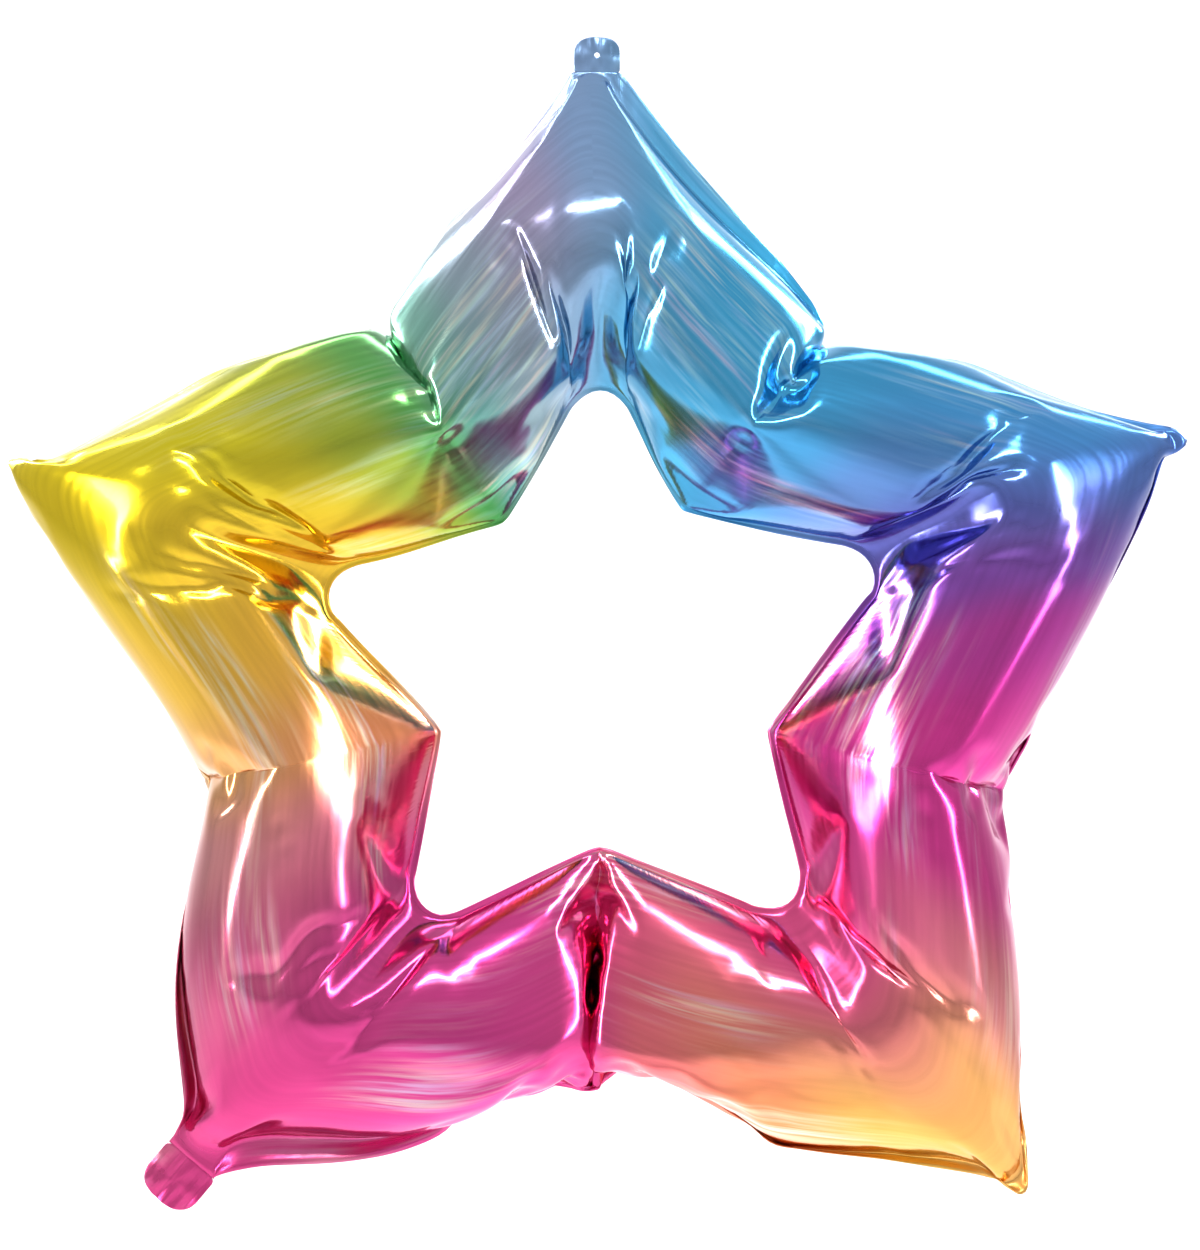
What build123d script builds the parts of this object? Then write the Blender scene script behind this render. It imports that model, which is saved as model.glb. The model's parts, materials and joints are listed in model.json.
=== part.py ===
from build123d import *

import os

# An open-centre five-pointed star balloon, heat-sealed from two sheets of metallised film and inflated.
# The star stands upright in the XZ plane and faces -Y. The origin is the centre of the hanging hole in the
# top tab. Two film panels are welded face to face on y = 0, round the outside and round the hole, and once
# across the frame at the bottom. A filling neck with a self-sealing valve leaves the lower left tip.

# Film, millimetres. The panels are thicker than real film so that they mesh as closed walls.
film = 0.6
valve_film = 0.25
film_clearance = 0.05

# Outline of the cut film, from the star's centre: half spreads and heights of the corners.
top_tip_height = 637.0
side_tip_spread, side_tip_height = 602.0, 219.0
low_tip_spread, low_tip_height = 443.0, -544.0
upper_notch_spread, upper_notch_height = 221.0, 328.0
side_notch_spread, side_notch_height = 396.0, -122.0
bottom_notch_height = -420.0

# The frame's width across its two edges, at the tips and at the notches between them.
width_at_tip = 205.0
width_at_notch = 219.0

# Welds. The outer weld stands further in at the tips, and most where a tab or the neck leaves.
outer_flange = 8.0
hole_flange = 6.0
tip_margin = 30.0
hang_tab_margin = 52.0
neck_margin = 62.0

# How far the inflated film stands off the weld plane, on one side.
crest_at_tip = 106.0
crest_at_notch = 97.0

# Corners of the cut film.
tip_radius = 12.0
notch_radius = 45.0
hole_far_radius = 30.0
hole_near_radius = 3.0
shoulder_radius = 6.0

# The weld across the frame at the bottom, and the rounded ends of the two lobes beside it.
cross_weld_half = 2.0
lobe_shoulder = 24.0
lobe_bulge = 0.30

# Tabs: the flat flaps that carry on past a fold line at a tip. The panel's edge stands back from the
# fold line by enough for a tab's two plies to turn past it.
fold_setback = 4.0
fold_clearance = 0.02
fold_gap_outer = 0.2
fold_gap_inner = (film**2 + fold_gap_outer**2) ** 0.5 + fold_clearance
hang_tab_width = 46.0
hang_tab_end = 13.0
hang_tab_radius = 21.0
hang_hole_radius = 2.5
hang_hole_inset = 31.0
neck_width = 62.0
neck_end = 7.0
neck_radius = 24.0

# The self-sealing valve: a flat sleeve of two films from the neck into the frame. The end of its front
# film is a flap that lifts off the back film.
valve_width = 34.0
valve_length = 175.0
valve_hinge_depth = 62.0
valve_hinge_gap = 0.3
neck_slit_clearance = 1.0
neck_slit_width = valve_width + 2 * neck_slit_clearance
neck_slit_depth = film / 2

front = Vector(0, -1, 0)
centre = Vector(0, 0, hang_hole_inset - top_tip_height)
reach = 400.0


def corner(spread, height):
    """A corner of the outline, in the weld plane."""
    return centre + Vector(spread, 0, height)


# Round the outline from the top tip, clockwise as seen from the front. Tips are even, notches are odd.
outline = [
    corner(0, top_tip_height),
    corner(upper_notch_spread, upper_notch_height),
    corner(side_tip_spread, side_tip_height),
    corner(side_notch_spread, side_notch_height),
    corner(low_tip_spread, low_tip_height),
    corner(0, bottom_notch_height),
    corner(-low_tip_spread, low_tip_height),
    corner(-side_notch_spread, side_notch_height),
    corner(-side_tip_spread, side_tip_height),
    corner(-upper_notch_spread, upper_notch_height),
]
count = len(outline)
top_tip, bottom_notch, neck_tip = 0, 5, 6


def is_tip(index):
    return index % 2 == 0


def inward(index):
    """The direction of the mitre at a corner, towards the hole."""
    before = (outline[index - 1] - outline[index]).normalized()
    after = (outline[(index + 1) % count] - outline[index]).normalized()
    middle = (before + after).normalized()
    return middle if is_tip(index) else -middle


def half_angle_sine(index):
    """The sine of the angle between the mitre and either edge at a corner."""
    along = (outline[(index + 1) % count] - outline[index]).normalized()
    cosine = abs(along.dot(inward(index)))
    return (1 - cosine**2) ** 0.5


def hole_corner(index):
    width = width_at_tip if is_tip(index) else width_at_notch
    return outline[index] + inward(index) * (width / half_angle_sine(index))


def outer_margin(index):
    """How far the outer weld lies inside the cut corner, along the mitre."""
    if index == top_tip:
        return hang_tab_margin
    if index == neck_tip:
        return neck_margin
    return tip_margin if is_tip(index) else outer_flange / half_angle_sine(index)


def weld_ends(index, wall):
    """The two ends of the mitre section on the weld plane, drawn in by a wall thickness."""
    outer = outline[index] + inward(index) * (outer_margin(index) + wall)
    inner = hole_corner(index) - inward(index) * (hole_flange / half_angle_sine(index) + wall)
    return outer, inner


def mitre_section(index, wall):
    """The lens-shaped half section of the inflated frame on a corner's mitre plane."""
    outer, inner = weld_ends(index, wall)
    crest = (crest_at_tip if is_tip(index) else crest_at_notch) - wall
    top = (outer + inner) / 2 + front * crest
    arc = ThreePointArc(outer, top, inner)
    chord = Line(inner, outer)
    return make_face([arc, chord])


def groove(wall):
    """The gap between the two rounded lobes at the cross weld, widened by a wall thickness."""
    foot = cross_weld_half + wall
    shoulder = lobe_shoulder + wall
    depth = crest_at_notch + lobe_shoulder
    middle = foot + lobe_bulge * (shoulder - foot)
    waist = 0.6 * depth
    low = outline[bottom_notch].Z - lobe_shoulder
    right = ThreePointArc((foot, 0, low), (middle, -waist, low), (shoulder, -depth, low))
    left = ThreePointArc((-shoulder, -depth, low), (-middle, -waist, low), (-foot, 0, low))
    outside = Line((shoulder, -depth, low), (-shoulder, -depth, low))
    inside = Line((-foot, 0, low), (foot, 0, low))
    return extrude(make_face([right, outside, left, inside]), amount=reach, dir=(0, 0, 1))


def dome(wall):
    """The inflated front half of the whole frame as a solid, shrunk by a wall thickness."""
    sections = [mitre_section(index, wall) for index in range(count)]
    limbs = [loft([sections[index - 1], sections[index]], ruled=True) for index in range(count)]
    return limbs[0].fuse(*limbs[1:]) - groove(wall)


def rounded_outline(points, radii):
    """A flat face bounded by a closed outline with a radius at each corner."""
    wire = FilletPolyline(*points, radius=radii, close=True)
    return make_face(wire.edges())


def fold_distance(index):
    """How far a tab's fold line lies from the cut tip, along the mitre."""
    return outer_margin(index) - fold_setback


def fold_plane(index):
    """A plane at the middle of a fold line: x runs out along the tab and z faces the front."""
    at = outline[index] + inward(index) * fold_distance(index)
    return Plane(origin=at, x_dir=-inward(index), z_dir=front)


def flat_film():
    """The cut film with its outline and its hole, as a plate on the front side of the weld plane."""
    outer_radii = [tip_radius if is_tip(index) else notch_radius for index in range(count)]
    hole_radii = [hole_far_radius if is_tip(index) else hole_near_radius for index in range(count)]
    outer = rounded_outline(outline, outer_radii)
    hole = rounded_outline([hole_corner(index) for index in range(count)], hole_radii)
    plate = extrude(outer, amount=film, dir=front) - extrude(hole, amount=film, dir=front)
    for index in (top_tip, neck_tip):
        beyond = Box(reach, reach, 3 * film, align=(Align.MIN, Align.CENTER, Align.CENTER))
        plate -= fold_plane(index) * Pos(-fold_gap_inner, 0, 0) * beyond
    return plate


def valve_pocket():
    """The room that the flat valve sleeve takes in one panel, from the fold line into the frame."""
    depth = valve_film + film_clearance
    wide = valve_width + 2 * film_clearance
    block = Box(valve_length, wide, depth, align=(Align.MAX, Align.CENTER, Align.MIN))
    return fold_plane(neck_tip) * block


def panel():
    """The front film panel: the inflated shell, its welded margins and the cross weld, in one piece."""
    skin = (dome(0) + flat_film()) - dome(film)
    return skin - valve_pocket()


def tab(index, width, end, radius):
    """One ply of a tab that carries on past the fold line at a tip."""
    length = fold_distance(index) - end
    points = [
        (fold_gap_outer, -width / 2, 0),
        (length, -width / 2, 0),
        (length, width / 2, 0),
        (fold_gap_outer, width / 2, 0),
    ]
    radii = [shoulder_radius, radius, radius, shoulder_radius]
    face = rounded_outline(points, radii)
    return fold_plane(index) * extrude(face, amount=film, dir=(0, 0, 1))


def hang_tab_ply():
    """A ply of the top tab, with its punched hanging hole on the origin."""
    hole = Rot(X=90) * Cylinder(hang_hole_radius, 4 * film)
    return tab(top_tip, hang_tab_width, hang_tab_end, hang_tab_radius) - hole


def neck_ply():
    """A ply of the filling neck, with its half of the slit that the filling straw enters."""
    length = fold_distance(neck_tip)
    slit = Box(length, neck_slit_width, neck_slit_depth, align=(Align.MIN, Align.CENTER, Align.MIN))
    return tab(neck_tip, neck_width, neck_end, neck_radius) - fold_plane(neck_tip) * slit


def valve_strip(start, end, lift=0.0):
    """A stretch of the valve's front film, between two depths inside the fold line."""
    strip = Box(end - start, valve_width, valve_film, align=(Align.MAX, Align.CENTER, Align.MIN))
    return fold_plane(neck_tip) * Pos(-start, 0, lift) * strip


def to_back(shape):
    """The same piece on the back of the balloon."""
    return mirror(shape, about=Plane.XZ)


def build():
    front_panel = panel()
    hang_ply = hang_tab_ply()
    filling_ply = neck_ply()
    hinge_end = valve_hinge_depth - valve_hinge_gap
    whole_valve = valve_strip(fold_gap_inner, valve_length)
    return {
        "front_foil": front_panel,
        "back_foil": to_back(front_panel),
        "hang_tab_front_ply": hang_ply,
        "hang_tab_back_ply": to_back(hang_ply),
        "neck_front_ply": filling_ply,
        "neck_back_ply": to_back(filling_ply),
        "valve_front_film": valve_strip(fold_gap_inner, hinge_end),
        "valve_flap": valve_strip(valve_hinge_depth, valve_length, film_clearance),
        "valve_back_film": to_back(whole_valve),
    }


if __name__ == "__main__":
    os.makedirs("parts", exist_ok=True)
    for name, shape in build().items():
        export_step(shape, f"parts/{name}.step")
    neck = fold_plane(neck_tip)
    print("hanging tab's fold at", fold_plane(top_tip).origin)
    print("neck's fold at", neck.origin, "along", neck.y_dir)
    print("neck's mouth at", neck.origin + neck.x_dir * (fold_distance(neck_tip) - neck_end), "facing", neck.x_dir)
    print("valve flap's hinge at", neck.origin - neck.x_dir * valve_hinge_depth)
    print("star's centre at", centre)
    print("hole's corners", [tuple(round(value, 1) for value in hole_corner(index)) for index in range(count)])
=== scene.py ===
import json
import math

import bmesh
import bpy
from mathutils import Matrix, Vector

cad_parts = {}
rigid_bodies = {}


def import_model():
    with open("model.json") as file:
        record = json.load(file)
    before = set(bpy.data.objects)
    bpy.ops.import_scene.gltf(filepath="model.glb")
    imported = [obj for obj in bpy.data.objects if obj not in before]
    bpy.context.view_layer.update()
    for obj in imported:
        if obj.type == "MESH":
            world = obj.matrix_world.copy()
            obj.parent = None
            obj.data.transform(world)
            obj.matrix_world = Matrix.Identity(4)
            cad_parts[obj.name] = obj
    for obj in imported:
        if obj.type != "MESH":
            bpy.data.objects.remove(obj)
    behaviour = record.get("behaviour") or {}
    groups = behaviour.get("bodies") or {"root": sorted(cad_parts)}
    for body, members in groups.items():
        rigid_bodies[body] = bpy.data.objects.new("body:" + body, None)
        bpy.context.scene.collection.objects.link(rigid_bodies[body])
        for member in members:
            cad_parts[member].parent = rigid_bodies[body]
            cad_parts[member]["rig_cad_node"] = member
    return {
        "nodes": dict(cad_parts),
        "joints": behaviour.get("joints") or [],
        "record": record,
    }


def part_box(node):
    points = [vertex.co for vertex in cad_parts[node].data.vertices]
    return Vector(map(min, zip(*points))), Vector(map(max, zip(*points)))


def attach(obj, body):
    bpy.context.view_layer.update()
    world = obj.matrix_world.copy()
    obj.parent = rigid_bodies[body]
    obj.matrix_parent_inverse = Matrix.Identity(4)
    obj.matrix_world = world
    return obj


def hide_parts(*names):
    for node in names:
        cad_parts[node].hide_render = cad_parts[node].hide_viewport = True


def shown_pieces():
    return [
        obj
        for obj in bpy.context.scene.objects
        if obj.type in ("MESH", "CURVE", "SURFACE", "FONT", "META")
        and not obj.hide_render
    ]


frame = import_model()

scene = bpy.context.scene
fullTurn = 2 * math.pi
mm = 0.001


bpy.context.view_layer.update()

# The two panels of film: how they are cut flat, and how hard the gas fills them.
foil = {
    "centre": (0, 0, -0.606),       # the middle of the star, below the hole in the hanging tab
    # The line of the weld on the flat film, in mm from the centre, as five corners from the top
    # tip clockwise to the lower right one, and the notch between the lower tips. The left mirrors.
    "outer": [(0, 676), (289, 424), (652, 240), (545, -163), (482, -585), (0, -500)],
    "inner": [(0, 318), (114, 175), (318, 104), (210, -86), (234, -292), (0, -262)],
    "outerRound": (28, 40),         # corner radius of the weld at a tip and at a notch
    "innerRound": (45, 10),         # and at a far and a near corner of the hole
    "edgeRound": (14, 30),          # the same for the cut edge outside the weld
    "holeEdgeRound": (35, 4),
    "cornerCells": 4,
    "flange": 10,                   # welded margin outside the weld line
    "holeFlange": 8,
    "tabMargin": (20, 22),          # more of it past the tips that carry the hanging tab and the neck
    "flangeRows": 2,
    "along": 28,      # cells along one side of a limb
    "across": 30,
    "start": 0.002,                 # how far each panel starts from the plane of the weld
    "frames": 30,
    "pressure": 6,
    "wall": 0.0004,
    "foldGap": 0.0001,
    "atFold": 0.2,                  # what is left of the thickness of film drawn back to a fold line
}
tips = 5
corners = 2 * tips
hangCorner, neckCorner = 0, 6       # the corners that carry the tabs, clockwise from the top

# Where the filled star's weld comes to, in mm from the centre: its ten corners in the same order,
# and how far the outer weld bows out between each corner and the next.
settle = {
    "outer": [(-7, 589), (223, 311), (579, 218), (400, -128), (416, -519),
              (3, -426), (-402, -483), (-388, -116), (-581, 198), (-207, 320)],
    "inner": [(3, 278), (90, 155), (279, 103), (176, -71), (196, -249),
              (3, -188), (-175, -254), (-162, -71), (-271, 83), (-97, 143)],
    "bow": [4, 20, 6, 14, 19, 12, 20, 8, 19, 16],
    "level": 0.75,                  # how much of the weld's own waviness front to back is taken out
}

# The flat film at the two tips that carry a tab widens to the tab's root at the fold.
shoulder = {
    "reach": 0.2,                   # of a limb's side, from the tip
    "root": 0.3,                    # of that reach, along which it lies on the fold line
}

# In the notches the flange is bunched up, so less of it stands out past the weld.
notch = {
    "reach": 0.3,                   # of a limb's side, from the notch
    "left": 0.3,                    # of the flange's width, at the notch itself
}


def mirrored(points):
    return points + [(-x, z) for x, z in points[-2:0:-1]]


def widened(points, margin, tabMargins=(0, 0)):
    # A polygon's corners moved out by one margin, on their mitres, and further where a tab follows.
    polygon = [Vector(p) for p in points]
    moved = []
    for i, p in enumerate(polygon):
        before = (p - polygon[i - 1]).normalized()
        after = (polygon[(i + 1) % len(polygon)] - p).normalized()
        out = Vector((-before.y - after.y, before.x + after.x)).normalized()
        reach = margin / out.dot(Vector((-before.y, before.x)))
        moved.append(p + out * (reach + dict(zip((hangCorner, neckCorner), tabMargins)).get(i, 0)))
    return [tuple(p) for p in moved]


def walkLoop(start):
    loop, vert, edge = [start], start, None
    while True:
        edge = next(e for e in vert.link_edges if e is not edge)
        vert = edge.other_vert(vert)
        if vert is start:
            return loop
        loop.append(vert)


def cutLine(points, radii, along):
    # The points along one cut or weld, rounded at its corners, clockwise from the top.
    bm = bmesh.new()
    polygon = [bm.verts.new((x * mm, 0, z * mm)) for x, z in points]
    for a, b in zip(polygon, polygon[1:] + polygon[:1]):
        bm.edges.new((a, b))
    for vert, radius in zip(polygon, radii):
        a, b = [(e.other_vert(vert).co - vert.co).normalized() for e in vert.link_edges]
        bmesh.ops.bevel(bm, geom=[vert], offset=radius * mm / math.tan(a.angle(b) / 2),
                        segments=foil["cornerCells"], profile=0.5, affect='VERTICES', material=-1)
    sides = sorted(bm.edges, key=lambda e: -e.calc_length())[:len(points)]
    bmesh.ops.subdivide_edges(bm, edges=sides, cuts=along)
    top = Vector((points[0][0] * mm, 0, points[0][1] * mm))
    line = [v.co.copy() for v in walkLoop(min(bm.verts, key=lambda v: (v.co - top).length))]
    bm.free()
    return line if line[3].x > line[0].x else line[:1] + line[:0:-1]


def cutPanels():
    # Both panels flat, welded along their rims and across the frame at the bottom. Each point keeps
    # its place round the star (k), its row across the limb (j), and each face its side.
    outer, inner = mirrored(foil["outer"]), mirrored(foil["inner"])
    along, rows = foil["along"], foil["flangeRows"]
    outerWeld = cutLine(outer, foil["outerRound"] * tips, along)
    innerWeld = cutLine(inner, foil["innerRound"] * tips, along)
    outerEdge = cutLine(widened(outer, foil["flange"], foil["tabMargin"]), foil["edgeRound"] * tips, along)
    innerEdge = cutLine(widened(inner, -foil["holeFlange"]), foil["holeEdgeRound"] * tips, along)
    count, last = len(outerWeld), foil["across"] + 1
    bm = bmesh.new()
    wheel = 3       # the grid is spun up as a plain wheel of this radius, then laid on the lines
    line = [bm.verts.new((0, 0, wheel - j / last)) for j in range(-rows, last + rows + 1)]
    for a, b in zip(line, line[1:]):
        bm.edges.new((a, b))
    bmesh.ops.spin(bm, geom=bm.verts[:] + bm.edges[:], cent=(0, 0, 0), axis=(0, 1, 0),
                   angle=fullTurn, steps=count, use_merge=True)
    k, j = bm.verts.layers.int.new("k"), bm.verts.layers.int.new("j")
    side = bm.faces.layers.int.new("side")
    uv = bm.loops.layers.uv.new("limb")
    for v in bm.verts:
        v[k] = round(math.atan2(v.co.x, v.co.z) / fullTurn * count) % count
        v[j] = round((wheel - v.co.length) * last)
    for f in bm.faces:
        closing = max(v[k] for v in f.verts) - min(v[k] for v in f.verts) > 1
        for loop in f.loops:
            v = loop.vert
            around = count if closing and v[k] == 0 else v[k]
            loop[uv].uv = (around / count, v[j] / last)
    flat = [f for f in bm.faces if min(v[j] for v in f.verts) < 0 or max(v[j] for v in f.verts) > last]
    for f in flat:
        f[side] = 2
    copied = bmesh.ops.duplicate(bm, geom=[f for f in bm.faces if not f[side]])["geom"]
    backVerts = {g for g in copied if isinstance(g, bmesh.types.BMVert)}
    for g in copied:
        if isinstance(g, bmesh.types.BMFace):
            g[side] = 1
    for v in bm.verts:
        if v[j] < 0:
            v.co = outerWeld[v[k]].lerp(outerEdge[v[k]], -v[j] / rows)
        elif v[j] > last:
            v.co = innerWeld[v[k]].lerp(innerEdge[v[k]], (v[j] - last) / rows)
        else:
            v.co = outerWeld[v[k]].lerp(innerWeld[v[k]], v[j] / last)
            if 0 < v[j] < last and v[k] != count // 2:
                v.co.y = foil["start"] if v in backVerts else -foil["start"]
    bmesh.ops.remove_doubles(bm, verts=bm.verts[:], dist=0.1 * mm)
    bm.normal_update()
    bmesh.ops.reverse_faces(bm, faces=[f for f in bm.faces if (f.normal.y > 0) != (f[side] == 1)])
    putInOrder(bm, k, j, side, uv)
    mesh = bpy.data.meshes.new("flatPanels")
    bm.to_mesh(mesh)
    gasSide = [v.index for v in bm.verts if 0 <= v[j] <= last]
    bm.free()
    return mesh, gasSide, count, last


def putInOrder(bm, k, j, side, uv):
    # One fixed order, so that the gas fills the panels in the same way on every run.
    def place(element):
        number = 0
        for index in sorted(v.index for v in element.verts)[:3]:
            number = number * len(bm.verts) + index
        return float(number)

    bm.verts.sort(key=lambda v: (v[k] * 1000 + v[j]) * 1000 + v.co.y)
    bm.verts.index_update()
    for f in bm.faces[:]:           # made again, so that each starts at its lowest vertex
        first = min(range(len(f.loops)), key=lambda n: f.loops[n].vert.index)
        loops = f.loops[first:] + f.loops[:first]
        verts, spots, which = [l.vert for l in loops], [l[uv].uv.copy() for l in loops], f[side]
        bm.faces.remove(f)
        again = bm.faces.new(verts)
        again[side] = which
        for loop, spot in zip(again.loops, spots):
            loop[uv].uv = spot
    bm.edges.sort(key=place)
    bm.faces.sort(key=lambda f: place(f) + f[side] / 4)


# The film as Blender's cloth takes it: light, stiff in its plane and limp across it.
cloth = {
    "quality": 6,
    "mass": 0.05,
    "airDamping": 2,
    "stretch": 60,
    "shear": 40,
    "bend": 0.01,
    "stretchDamping": 5,
    "bendDamping": 0.5,
}


def inflate(mesh, gasSide):
    # Gas fills the flat panels, and the film folds where it has length to spare.
    panels = bpy.data.objects.new("panels", mesh)
    scene.collection.objects.link(panels)
    panels.vertex_groups.new(name="gas").add(gasSide, 1, 'REPLACE')
    gas = panels.modifiers.new("gas", 'CLOTH')
    film = gas.settings
    film.quality, film.mass, film.air_damping = cloth["quality"], cloth["mass"], cloth["airDamping"]
    film.tension_stiffness = film.compression_stiffness = cloth["stretch"]
    film.shear_stiffness, film.bending_stiffness = cloth["shear"], cloth["bend"]
    film.tension_damping = film.compression_damping = film.shear_damping = cloth["stretchDamping"]
    film.bending_damping = cloth["bendDamping"]
    film.use_pressure, film.uniform_pressure_force = True, foil["pressure"]
    film.vertex_group_pressure = "gas"
    film.effector_weights.gravity = 0
    gas.collision_settings.use_collision = gas.collision_settings.use_self_collision = False
    gas.point_cache.frame_start, gas.point_cache.frame_end = 1, foil["frames"] + 1
    for number in range(1, foil["frames"] + 1):
        scene.frame_set(number)
    filled = bpy.data.meshes.new_from_object(panels.evaluated_get(bpy.context.evaluated_depsgraph_get()))
    bpy.data.objects.remove(panels)
    scene.frame_set(1)
    return filled


def flatTo(point):
    return Vector((point.x, 0, point.z))


def measureMoves(ring, count, last):
    # How far the weld's corners, and its middles between them, still are from their places.
    moves = {"outer": [], "inner": [], "middle": []}
    for n in range(corners):
        for name, row in (("outer", 0), ("inner", last)):
            x, z = settle[name][n]
            moves[name].append(Vector((x * mm, 0, z * mm)) - flatTo(ring[n * count // corners, row].co))
    for n in range(corners):
        after = (n + 1) % corners
        (ax, az), (bx, bz) = settle["outer"][n], settle["outer"][after]
        outward = Vector((az - bz, 0, bx - ax)).normalized()
        goal = Vector((ax + bx, 0, az + bz)) / 2 * mm + outward * settle["bow"][n] * mm
        now = flatTo(ring[(2 * n + 1) * count // (2 * corners), 0].co)
        carried = (moves["outer"][n] + moves["outer"][after]) / 2
        moves["middle"].append(outward * (goal - now - carried).dot(outward))
    return moves


def drawnTo(moves, around, across):
    # The move of a point, from its place round the star in corners and across the limb.
    n, part = int(around) % corners, around - int(around)
    after = (n + 1) % corners
    near = 0.5 - 0.5 * math.cos(part * math.pi)
    outer = moves["outer"][n].lerp(moves["outer"][after], near)
    inner = moves["inner"][n].lerp(moves["inner"][after], near)
    return (outer + moves["middle"][n] * math.sin(part * math.pi) ** 2).lerp(inner, across)


joints = {j["name"]: j for j in frame["joints"]}
hangFold = Vector(joints["hang_tab_fold"]["pos_m"])
neckFold = Vector(joints["neck_fold"]["pos_m"])
neckMouth = next(m for m in frame["record"]["mounts"] if m["name"] == "fill_mouth")
neckOut = Vector(neckMouth["axis"])
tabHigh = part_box("hang_tab_front_ply")[1]
neckHalf = 0.031                    # half the neck's width
tabRoots = [(hangFold, Vector((0, 0, 1)), tabHigh.x, hangCorner), (neckFold, neckOut, neckHalf, neckCorner)]


def settleStar(bm, ring, k, j, count, last):
    # The weld goes to its places, and nothing of the star passes a fold line.
    middle = sum(ring[n, 0].co.y + ring[n, last].co.y for n in range(count)) / count / 2
    rims = {n: (ring[n, 0].co.y - middle, ring[n, last].co.y - middle) for n in range(count)}
    moves = measureMoves(ring, count, last)
    for v in bm.verts:
        outer, inner = rims[v[k]]
        across = min(max(v[j] / last, 0), 1)
        v.co.y -= middle + settle["level"] * (outer + (inner - outer) * across)
        v.co += Vector(foil["centre"]) + drawnTo(moves, v[k] / count * corners, across)
        for fold, out, half, corner in tabRoots:
            past = (v.co - fold).dot(out) + foil["foldGap"]
            if past > 0:
                v.co -= out * past
                v.co.y *= foil["atFold"]


def shapeFlange(ring, count, rows):
    # The flange is bunched up in the notches, and meets the tabs' roots at the tips that have one.
    for n in range(count):
        away = (1 - abs((n / count * corners - 1) % 2 - 1)) / notch["reach"]
        if away < 1:
            kept = notch["left"] + (1 - notch["left"]) * away
            for row in range(1, rows + 1):
                ring[n, -row].co = ring[n, 0].co.lerp(ring[n, -row].co, kept)
    for fold, out, half, corner in tabRoots:
        along = Vector((out.z, 0, -out.x))
        for n in range(count):
            past = ((n / count * corners - corner + tips) % corners - tips) / shoulder["reach"]
            if abs(past) < 1:
                edge, weld = ring[n, -rows], ring[n, 0].co
                place = half * min(max(past / shoulder["root"], -1), 1)
                drawn = min((1 - abs(past)) / (1 - shoulder["root"]), 1)
                edge.co = edge.co.lerp(fold + along * place - out * foil["foldGap"], drawn)
                for row in range(1, rows):
                    ring[n, -row].co = weld.lerp(edge.co, row / rows)


def makeFoil(name, node, slotName, side, filled, count, last):
    bm = bmesh.new()
    bm.from_mesh(filled)
    k, j = bm.verts.layers.int["k"], bm.verts.layers.int["j"]
    part = bm.faces.layers.int["side"]
    bmesh.ops.delete(bm, geom=[f for f in bm.faces if f[part] == 1 - side], context='FACES')
    if side:
        bmesh.ops.reverse_faces(bm, faces=[f for f in bm.faces if f[part] == 2])
    ring = {(v[k], v[j]): v for v in bm.verts}
    settleStar(bm, ring, k, j, count, last)
    shapeFlange(ring, count, foil["flangeRows"])
    mesh = bpy.data.meshes.new(name)
    bm.to_mesh(mesh)
    bm.free()
    piece = finishPiece(name, mesh, "star", slotName, node)
    smoother = piece.modifiers.new("smooth", 'SUBSURF')
    smoother.levels = smoother.render_levels = 1
    wall = piece.modifiers.new("film", 'SOLIDIFY')
    wall.thickness, wall.offset = foil["wall"], 1
    return piece


def finishPiece(name, mesh, body, slotName, *nodes):
    for polygon in mesh.polygons:
        polygon.use_smooth = True
    piece = bpy.data.objects.new(name, mesh)
    scene.collection.objects.link(piece)
    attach(piece, body)
    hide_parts(*nodes)
    return piece


flatPanels, gasSide, count, last = cutPanels()
print("panels cut", len(flatPanels.vertices), "points")
filled = inflate(flatPanels, gasSide)
print("panels filled")
frontFoil = makeFoil("front_film_panel", "front_foil", "front_film", 0, filled, count, last)
backFoil = makeFoil("back_film_panel", "back_foil", "back_film", 1, filled, count, last)

# The flat tabs at two of the tips: two plies of film each, welded flat and a little crumpled.
tabs = {
    "segments": 48,
    "rings": 10,
    "wall": 0.0005,
    "crumple": 0.0016,
    "waves": (5, 1.3, 0.6, 520),    # round the edge, their start, and the depth and pitch of those across
    "squareness": 2.6,              # of the round end: 2 is an ellipse
    "rootLap": 0.0007,              # how far the tab's film runs on past its fold line
    "holeRadius": 0.0025,           # for the ribbon, in the hanging tab
    "closedRadius": 0.0006,         # the middle cell of a tab that has no hole
}


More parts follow.
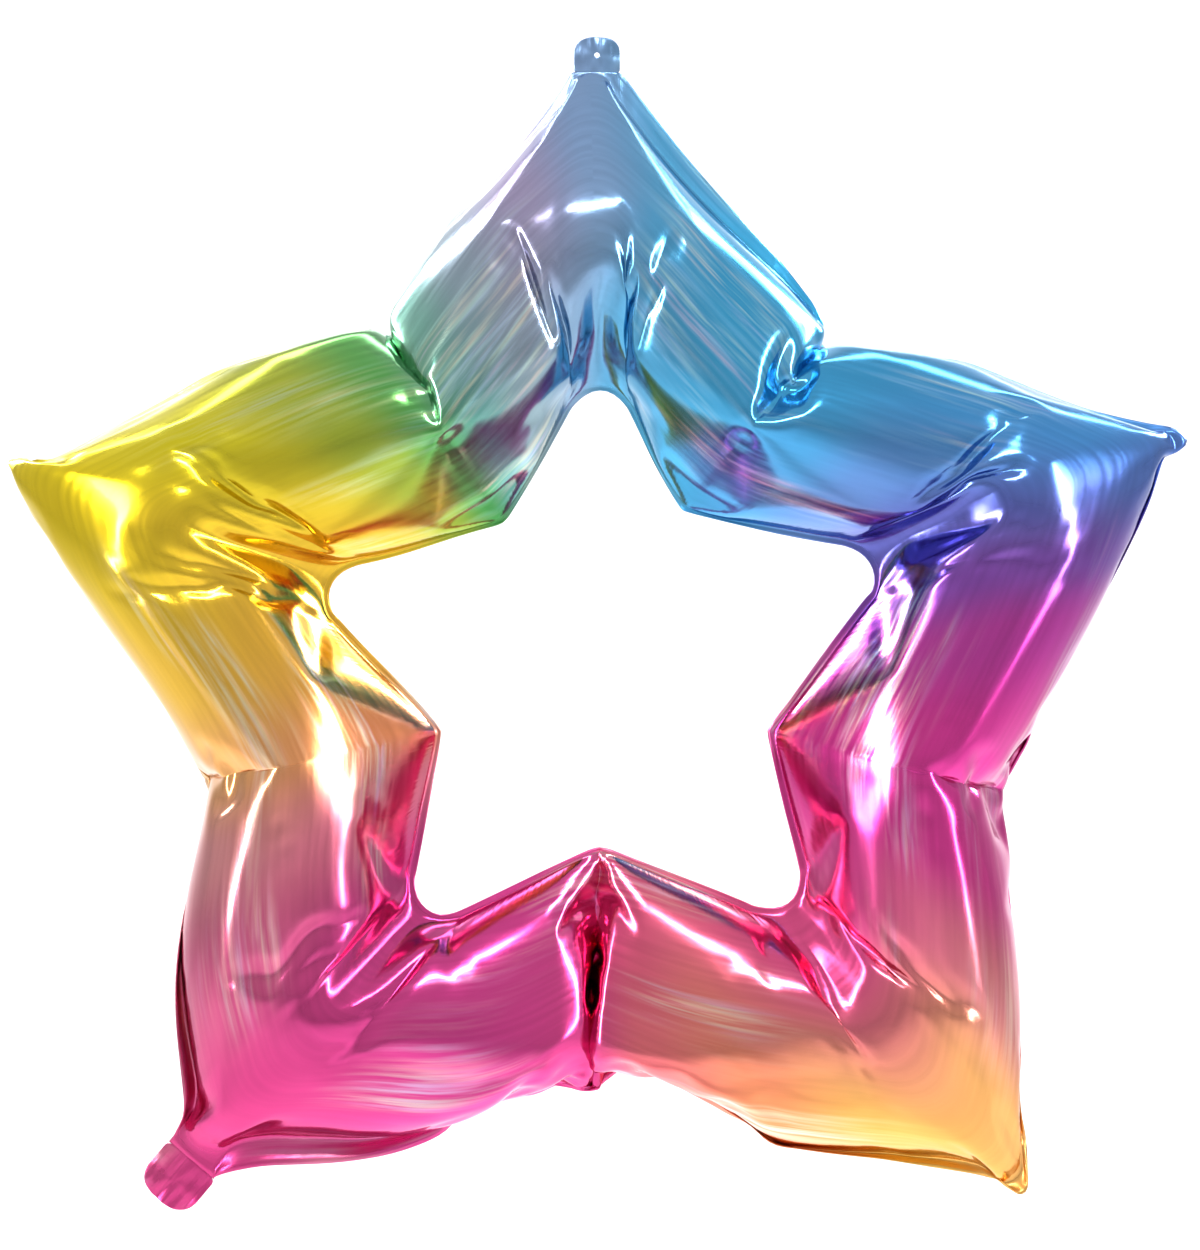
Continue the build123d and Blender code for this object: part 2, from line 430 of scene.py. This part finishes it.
def tabPly(name, node, body, slotName, side, hole, middle, outward, reachOut, halfWidth, rootDepth):
    # Rings of film grow from the middle of the tab to its outline, which is flat at the root.
    across = Vector((outward.z, 0, -outward.x))
    rootDepth += tabs["rootLap"]
    radius = hole or tabs["closedRadius"]
    bm = bmesh.new()
    circle = bmesh.ops.create_circle(bm, segments=tabs["segments"], radius=radius, cap_ends=not hole)
    for v in circle["verts"]:
        angle = math.atan2(v.co.y, v.co.x)
        v.co = middle + (across * math.cos(angle) + outward * math.sin(angle)) * radius
    edges = bm.edges[:]
    for step in range(1, tabs["rings"] + 1):
        made = bmesh.ops.extrude_edge_only(bm, edges=edges)["geom"]
        edges = [g for g in made if isinstance(g, bmesh.types.BMEdge) and g.is_boundary]
        for v in [g for g in made if isinstance(g, bmesh.types.BMVert)]:
            local = v.co - middle
            angle = math.atan2(local.dot(outward), local.dot(across))
            out = step / tabs["rings"]
            far = radius + (tabOutline(angle, reachOut, halfWidth, rootDepth) - radius) * out
            v.co = middle + (across * math.cos(angle) + outward * math.sin(angle)) * far
            v.co.y = crumpled(angle, out, local.dot(across), (v.co - middle).dot(outward) / rootDepth + 1)
    bmesh.ops.recalc_face_normals(bm, faces=bm.faces[:])
    facing = sum(f.normal.y * f.calc_area() for f in bm.faces)
    if (facing > 0) != (side == 1):
        bmesh.ops.reverse_faces(bm, faces=bm.faces[:])
    uv = bm.loops.layers.uv.new("limb")
    for f in bm.faces:
        for loop in f.loops:
            local = loop.vert.co - middle
            loop[uv].uv = (local.dot(across), -0.1 - local.dot(outward))    # as the star's welded margin
    mesh = bpy.data.meshes.new(name)
    bm.to_mesh(mesh)
    bm.free()
    piece = finishPiece(name, mesh, body, slotName, node)
    wall = piece.modifiers.new("film", 'SOLIDIFY')
    wall.thickness, wall.offset = tabs["wall"], 1
    smoother = piece.modifiers.new("smooth", 'SUBSURF')
    smoother.levels = smoother.render_levels = 1


def crumpled(angle, out, sideways, fromRoot):
    # Both plies bend alike, more towards the edge and not at all at the root.
    around, start, depth, pitch = tabs["waves"]
    wave = math.sin(angle * around + start) * out ** 2 + depth * math.sin(sideways * pitch) * out
    return tabs["crumple"] * wave * min(1, max(0, fromRoot))


def tabOutline(angle, reachOut, halfWidth, rootDepth):
    # How far the outline is from the middle: a round end, straight sides, and a straight root.
    s, c = math.sin(angle), math.cos(angle)
    if s > 0:
        power = tabs["squareness"]
        return 1 / ((abs(c) / halfWidth) ** power + (s / reachOut) ** power) ** (1 / power)
    side = halfWidth / max(abs(c), 1e-6)
    return min(side, rootDepth / -s) if s < 0 else side


neckHalfLength = (Vector(neckMouth["pos_m"]) - neckFold).length / 2
for side, ply in enumerate(("front", "back")):
    tabPly("hang_tab_" + ply + "_film", "hang_tab_" + ply + "_ply", "hang_tab", ply + "_film", side,
           tabs["holeRadius"], Vector((0, 0, 0)), Vector((0, 0, 1)), tabHigh.z, tabHigh.x, -hangFold.z)
    tabPly("neck_" + ply + "_film", "neck_" + ply + "_ply", "neck", ply + "_film", side,
           0, neckFold + neckOut * neckHalfLength, neckOut, neckHalfLength, neckHalf, neckHalfLength)
print("tabs made")


# The print: a rainbow that runs round the star, with fine grain and crinkle of the film, and a painted
# sheen of pastel bands standing in for the holographic film's highlights and reflections.
rainbow = {
    # Place round the star from the bottom weld clockwise, and the colour there near the outer rim.
    "outer": [(0.0, "cf4182"), (0.05, "d2418c"), (0.10, "c23a78"), (0.14, "c85a80"), (0.175, "d08a8c"),
              (0.205, "dca262"), (0.24, "e0b440"), (0.29, "e3c623"), (0.335, "d2c824"), (0.365, "a8b034"),
              (0.395, "5da352"), (0.42, "6f9f93"), (0.445, "8a9aa8"), (0.47, "9d92b4"), (0.495, "7f9cc4"),
              (0.52, "4f9cc8"), (0.56, "3a9ccb"), (0.62, "3596c8"), (0.68, "4690cf"), (0.70, "5676bd"),
              (0.725, "7a52a8"), (0.745, "b03f98"), (0.78, "cc3a90"), (0.83, "d03c8c"), (0.858, "d87c80"),
              (0.88, "dba05c"), (0.91, "d9a850"), (0.94, "dc8c58"), (0.975, "d96c70"), (1.0, "cf4680")],
    "inner": [(0.0, "d04888"), (0.06, "cc4088"), (0.12, "b83a78"), (0.16, "cf6a80"), (0.2, "dc8a5c"),
              (0.26, "dca43c"), (0.32, "d2b02c"), (0.37, "8da63a"), (0.40, "48984e"), (0.43, "5a9a90"),
              (0.46, "86a0a8"), (0.485, "7fa0bc"), (0.51, "55a0c8"), (0.56, "45a0cc"), (0.62, "4a94c6"),
              (0.66, "5f84c0"), (0.69, "5d60b0"), (0.72, "7c449c"), (0.745, "b23a92"), (0.79, "c83488"),
              (0.85, "c23880"), (0.90, "cf4a7e"), (0.95, "d9607c"), (1.0, "cf4478")],
    # Pastel colours of a painted sheen: the holographic film's rainbow highlights and reflections, painted
    # into the base colour.
    "paintedSheen": [(0.0, "f6c9de"), (0.25, "f5e3c4"), (0.5, "cfeedd"), (0.75, "bfd4f6"), (1.0, "f6c9de")],
    "paintedSheenAmount": (0.55, 0.45),         # how much of the painted sheen the front and the back show
    "bump": (0.35, 0.0012),
    "coat": (0.2, 0.06),
}


def linear(code):
    # A screen colour as the linear one that a shader socket takes.
    parts = [int(code[i:i + 2], 16) / 255 for i in (0, 2, 4)]
    return tuple(c / 12.92 if c <= 0.04045 else ((c + 0.055) / 1.055) ** 2.4 for c in parts) + (1,)


class Tree:
    # Nodes laid down and joined in one call each.
    def __init__(self, tree):
        self.tree = tree
        self.x = 0

    def add(self, kind, **values):
        node = self.tree.nodes.new(kind)
        self.x += 180
        node.location = (self.x, 0)
        for key, value in values.items():
            setattr(node, key, value)
        return node

    def join(self, source, target):
        self.tree.links.new(source, target)

    def math(self, operation, *inputs, clamp=False):
        node = self.add("ShaderNodeMath", operation=operation, use_clamp=clamp)
        for socket, value in zip(node.inputs, inputs):
            if isinstance(value, (int, float)):
                socket.default_value = value
            else:
                self.join(value, socket)
        return node.outputs[0]

    def ramp(self, factor, stops, interpolation='LINEAR'):
        node = self.add("ShaderNodeValToRGB")
        node.color_ramp.interpolation = interpolation
        elements = node.color_ramp.elements
        while len(elements) > 1:
            elements.remove(elements[-1])
        elements[0].position, elements[0].color = stops[0][0], stops[0][1]
        for place, colour in stops[1:]:
            elements.new(place).color = colour
        self.join(factor, node.inputs[0])
        return node.outputs[0]

    def mix(self, factor, a, b, blend='MIX'):
        node = self.add("ShaderNodeMix", data_type='RGBA', blend_type=blend)
        for socket, value in zip((node.inputs[0], node.inputs[6], node.inputs[7]), (factor, a, b)):
            if isinstance(value, (int, float, tuple)):
                socket.default_value = value
            else:
                self.join(value, socket)
        return node.outputs[2]

    def noise(self, vector, scale, detail=2.0, rough=0.5, distortion=0.0):
        node = self.add("ShaderNodeTexNoise")
        node.inputs["Scale"].default_value = scale
        node.inputs["Detail"].default_value = detail
        node.inputs["Roughness"].default_value = rough
        node.inputs["Distortion"].default_value = distortion
        self.join(vector, node.inputs["Vector"])
        return node.outputs["Fac"]

    def stretch(self, vector, scale, place=(0, 0, 0)):
        node = self.add("ShaderNodeMapping")
        node.inputs["Scale"].default_value = scale
        node.inputs["Location"].default_value = place
        self.join(vector, node.inputs["Vector"])
        return node.outputs[0]

    def between(self, value, low, high, toLow=0.0, toHigh=1.0, smooth=True):
        node = self.add("ShaderNodeMapRange")
        node.interpolation_type = 'SMOOTHSTEP' if smooth else 'LINEAR'
        for number, limit in zip((1, 2, 3, 4), (low, high, toLow, toHigh)):
            node.inputs[number].default_value = limit
        self.join(value, node.inputs[0])
        return node.outputs[0]

    def bump(self, height, shader, strength, distance):
        node = self.add("ShaderNodeBump")
        node.inputs["Strength"].default_value = strength
        node.inputs["Distance"].default_value = distance
        self.join(height, node.inputs["Height"])
        self.join(node.outputs[0], shader.inputs["Normal"])


def printedFilmAndPaintedSheen():
    # The shared group: the film's printed colour with a painted sheen of pastel highlight bands, how dull
    # it is, and how its surface stands.
    group = bpy.data.node_groups.new("printedFilmAndPaintedSheen", 'ShaderNodeTree')
    sockets = group.interface
    sockets.new_socket("Limb", in_out='INPUT', socket_type='NodeSocketVector')
    sockets.new_socket("Place", in_out='INPUT', socket_type='NodeSocketVector')
    sockets.new_socket("PaintedSheen", in_out='INPUT', socket_type='NodeSocketFloat')
    sockets.new_socket("Color", in_out='OUTPUT', socket_type='NodeSocketColor')
    sockets.new_socket("Roughness", in_out='OUTPUT', socket_type='NodeSocketFloat')
    sockets.new_socket("Height", in_out='OUTPUT', socket_type='NodeSocketFloat')
    tree = Tree(group)
    ends = tree.add("NodeGroupInput")
    limb, place, paintedSheenAmount = ends.outputs[0], ends.outputs[1], ends.outputs[2]
    split = tree.add("ShaderNodeSeparateXYZ")
    tree.join(place, split.inputs[0])
    cloud = tree.noise(tree.stretch(place, (1, 1, 1)), 3.2, 2.0)
    turn = tree.math('ARCTAN2', split.outputs["X"], split.outputs["Z"])
    roundStar = tree.math('MULTIPLY_ADD', turn, 1 / fullTurn, 0.5)
    shifted = tree.math('ADD', roundStar, tree.math('MULTIPLY_ADD', cloud, 0.03, -0.015), clamp=True)
    outer = tree.ramp(shifted, [(p, linear(c)) for p, c in rainbow["outer"]], 'EASE')
    inner = tree.ramp(shifted, [(p, linear(c)) for p, c in rainbow["inner"]], 'EASE')
    limbSplit = tree.add("ShaderNodeSeparateXYZ")
    tree.join(limb, limbSplit.inputs[0])
    across = limbSplit.outputs["Y"]
    uneven = tree.math('ADD', across, tree.math('MULTIPLY_ADD', cloud, 0.5, -0.25))
    base = tree.mix(tree.between(uneven, 0.15, 0.8), outer, inner)
    # A painted sheen: broad pastel bands painted into the colour along the limbs, in patches, standing in
    # for the holographic film's rainbow highlights and reflections.
    bands = tree.noise(tree.stretch(limb, (7.0, 16.0, 1)), 1.0, 3.0, 0.6)
    paintedSheenHue = tree.ramp(tree.math('FRACT', tree.math('MULTIPLY', bands, 3.0)),
                    [(p, linear(c)) for p, c in rainbow["paintedSheen"]])
    patch = tree.noise(tree.stretch(limb, (9.0, 5.0, 1), (3.1, 1.7, 0)), 1.0, 2.0)
    patch = tree.between(patch, 0.46, 0.72)
    fine = tree.noise(tree.stretch(limb, (26.0, 48.0, 1)), 1.0, 3.0, 0.55)
    fineMask = tree.between(fine, 0.35, 0.7)
    # The painted sheen's bands fade where the limb turns at a tip.
    sinceTip = tree.math('PINGPONG', limbSplit.outputs["X"], 0.1)
    straight = tree.between(sinceTip, 0.008, 0.04)
    amount = tree.math('MULTIPLY', tree.math('MULTIPLY', patch, fineMask),
                       tree.math('MULTIPLY', straight, paintedSheenAmount))
    # The painted highlight sheen is mixed into the printed colour here.
    streaked = tree.mix(amount, base, paintedSheenHue)
    grain = tree.between(fine, 0.3, 0.7, 0.95, 1.04)
    combine = tree.add("ShaderNodeCombineColor")
    for socket in combine.inputs:
        tree.join(grain, socket)
    toned = tree.mix(1.0, streaked, combine.outputs[0], 'MULTIPLY')
    # The welded margins are duller.
    weld = tree.math('MAXIMUM', tree.between(across, 0.0, -0.01), tree.between(across, 1.0, 1.01))
    soft = tree.noise(tree.stretch(limb, (60.0, 9.0, 1)), 1.0, 2.0)
    roughness = tree.math('ADD', tree.between(fine, 0.3, 0.7, 0.13, 0.19),
                          tree.math('MULTIPLY', weld, 0.14))
    nearOuter = tree.between(across, 0.16, 0.0)
    nearInner = tree.between(across, 0.84, 1.0)
    rim = tree.math('MAXIMUM', nearOuter, nearInner)
    gathers = tree.noise(tree.stretch(limb, (420.0, 2.2, 1)), 1.0, 2.0, 0.5)
    crinkle = tree.math('ADD', tree.math('MULTIPLY', fine, 0.05), tree.math('MULTIPLY', soft, 0.10))
    height = tree.math('ADD', tree.math('MULTIPLY', tree.math('MULTIPLY', gathers, rim), 0.9), crinkle)
    out = tree.add("NodeGroupOutput")
    tree.join(toned, out.inputs[0])
    tree.join(roughness, out.inputs[1])
    tree.join(height, out.inputs[2])
    return group


filmGroup = printedFilmAndPaintedSheen()


def filmMaterial(name, paintedSheenAmount):
    material = bpy.data.materials.new(name)
    material.use_nodes = True
    tree = Tree(material.node_tree)
    shader = material.node_tree.nodes["Principled BSDF"]
    coords = tree.add("ShaderNodeTexCoord")
    uv = tree.add("ShaderNodeUVMap", uv_map="limb")
    centred = tree.stretch(coords.outputs["Object"], (1, 1, 1), tuple(-c for c in foil["centre"]))
    printed = tree.add("ShaderNodeGroup", node_tree=filmGroup)
    tree.join(uv.outputs[0], printed.inputs["Limb"])
    tree.join(centred, printed.inputs["Place"])
    printed.inputs["PaintedSheen"].default_value = paintedSheenAmount
    tree.join(printed.outputs["Color"], shader.inputs["Base Color"])
    tree.join(printed.outputs["Roughness"], shader.inputs["Roughness"])
    tree.bump(printed.outputs["Height"], shader, *rainbow["bump"])
    shader.inputs["Metallic"].default_value = 1.0
    for socket, value in zip(("Coat Weight", "Coat Roughness"), rainbow["coat"]):
        shader.inputs[socket].default_value = value
    return material


frontFilm = filmMaterial("rainbowFilmFront", rainbow["paintedSheenAmount"][0])
backFilm = filmMaterial("rainbowFilmBack", rainbow["paintedSheenAmount"][1])
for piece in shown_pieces():
    if "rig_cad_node" not in piece:
        piece.data.materials.clear()
        piece.data.materials.append(frontFilm if "front" in piece.name else backFilm)


def valveMaterial():
    # Milky polyethylene, faintly clouded.
    material = bpy.data.materials.new("milkyValveFilm")
    material.use_nodes = True
    tree = Tree(material.node_tree)
    shader = material.node_tree.nodes["Principled BSDF"]
    coords = tree.add("ShaderNodeTexCoord")
    cloud = tree.noise(coords.outputs["Object"], 60.0, 3.0)
    milk = tree.ramp(cloud, [(0.3, linear("d9dcdf")), (0.7, linear("eef0f1"))])
    tree.join(milk, shader.inputs["Base Color"])
    tree.join(tree.between(cloud, 0.3, 0.7, 0.35, 0.5), shader.inputs["Roughness"])
    tree.bump(cloud, shader, 0.2, 0.0005)
    return material


valveFilm = valveMaterial()
for name in ("valve_front_film", "valve_flap", "valve_back_film"):
    mesh = frame["nodes"][name].data
    mesh.materials.clear()
    mesh.materials.append(valveFilm)
print("materials made")

# The studio: a pale sweep, soft boxes at both sides and a soft sky.
studio = {
    "floor": -1.32,
    "wall": 2.2,
    "bend": 1.2,
    "halfWidth": 9,
    "near": -9,
    "top": 8,
    "sky": 0.74,
    "skyShades": [(0.0, 0.8), (0.45, 0.9), (0.62, 1.05), (1.0, 1.2)],   # straight down to straight up
    # Soft boxes that face the middle of the star: where from, how wide and tall, and how strong.
    "boxes": {
        "leftBox": ((-2.6, -1.6, 0.6), (0.22, 2.6), 8),
        "rightBox": ((2.6, -1.6, 0.6), (0.22, 2.6), 7.5),
        "topBox": ((0, -2.4, 2.8), (1.6, 0.3), 6),
        "backLeft": ((-2.2, 1.4, 1.6), (0.5, 1.6), 14),
        "backRight": ((2.2, 1.4, 1.6), (0.5, 1.6), 14),
    },
    "boxSpread": 60,
}


def makeSweep():
    bm = bmesh.new()
    profile = [(studio["near"], studio["floor"]), (studio["wall"], studio["floor"]),
               (studio["wall"], studio["top"])]
    verts = [bm.verts.new((-studio["halfWidth"], y, z)) for y, z in profile]
    for a, b in zip(verts, verts[1:]):
        bm.edges.new((a, b))
    bmesh.ops.bevel(bm, geom=[verts[1]], offset=studio["bend"], segments=16, profile=0.5,
                    affect='VERTICES', material=-1)
    made = bmesh.ops.extrude_edge_only(bm, edges=bm.edges[:])["geom"]
    bmesh.ops.translate(bm, verts=[g for g in made if isinstance(g, bmesh.types.BMVert)],
                        vec=(2 * studio["halfWidth"], 0, 0))
    bmesh.ops.recalc_face_normals(bm, faces=bm.faces[:])
    if sum(f.normal.z for f in bm.faces) < 0:
        bmesh.ops.reverse_faces(bm, faces=bm.faces[:])
    mesh = bpy.data.meshes.new("sweep")
    bm.to_mesh(mesh)
    bm.free()
    for polygon in mesh.polygons:
        polygon.use_smooth = True
    sweep = bpy.data.objects.new("sweep", mesh)
    scene.collection.objects.link(sweep)
    material = bpy.data.materials.new("palePaper")
    material.use_nodes = True
    tree = Tree(material.node_tree)
    shader = material.node_tree.nodes["Principled BSDF"]
    coords = tree.add("ShaderNodeTexCoord")
    mottle = tree.noise(coords.outputs["Object"], 1.5, 3.0)
    paper = tree.ramp(mottle, [(0.3, linear("e4e4e6")), (0.7, linear("e9e9ea"))])
    tree.join(paper, shader.inputs["Base Color"])
    shader.inputs["Roughness"].default_value = 0.9
    shader.inputs["Specular IOR Level"].default_value = 0.1
    # The paper can't be seen from its far side, so it never hides the star.
    facing = tree.add("ShaderNodeNewGeometry")
    tree.join(tree.math('SUBTRACT', 1.0, facing.outputs["Backfacing"]), shader.inputs["Alpha"])
    mesh.materials.append(material)


def softBox(name, place, target, size, power, spread=180):
    light = bpy.data.lights.new(name, 'AREA')
    light.spread = math.radians(spread)
    light.shape, light.energy = 'RECTANGLE', power
    light.size, light.size_y = size
    box = bpy.data.objects.new(name, light)
    scene.collection.objects.link(box)
    box.location = place
    box.visible_camera = False
    box.rotation_euler = (Vector(target) - Vector(place)).to_track_quat('-Z', 'Y').to_euler()


def makeSky():
    world = bpy.data.worlds.new("studioSky")
    scene.world = world
    world.use_nodes = True
    tree = Tree(world.node_tree)
    background = world.node_tree.nodes["Background"]
    coords = tree.add("ShaderNodeTexCoord")
    split = tree.add("ShaderNodeSeparateXYZ")
    tree.join(coords.outputs["Generated"], split.inputs[0])
    shade = tree.ramp(tree.math('MULTIPLY_ADD', split.outputs["Z"], 0.5, 0.5),
                      [(p, (grey, grey, grey, 1)) for p, grey in studio["skyShades"]])
    tree.join(shade, background.inputs["Color"])
    background.inputs["Strength"].default_value = studio["sky"]


makeSweep()
makeSky()
middle = Vector(foil["centre"])
for name, (place, size, power) in studio["boxes"].items():
    softBox(name, middle + Vector(place), middle, size, power, studio["boxSpread"])
softBox("wallLight", (0, 0.9, 1.6), (0, 2.4, -0.6), (4.0, 0.5), 45)
softBox("floorLight", (0, 1.2, 0.4), (0, 1.6, -1.4), (4.0, 0.4), 15)

camera = {
    "place": (0.003, -4.0, -0.570),
    "tall": 1.25,                 # height of the view at the weld plane
    "sensor": 36,
}
lens = bpy.data.cameras.new("camera")
lens.sensor_width = camera["sensor"]
lens.lens = camera["sensor"] * -camera["place"][1] / camera["tall"]
viewer = bpy.data.objects.new("camera", lens)
viewer.location = camera["place"]
viewer.rotation_euler = (math.pi / 2, 0, 0)
scene.collection.objects.link(viewer)
scene.camera = viewer
scene.view_settings.view_transform = 'Standard'
print("studio made")
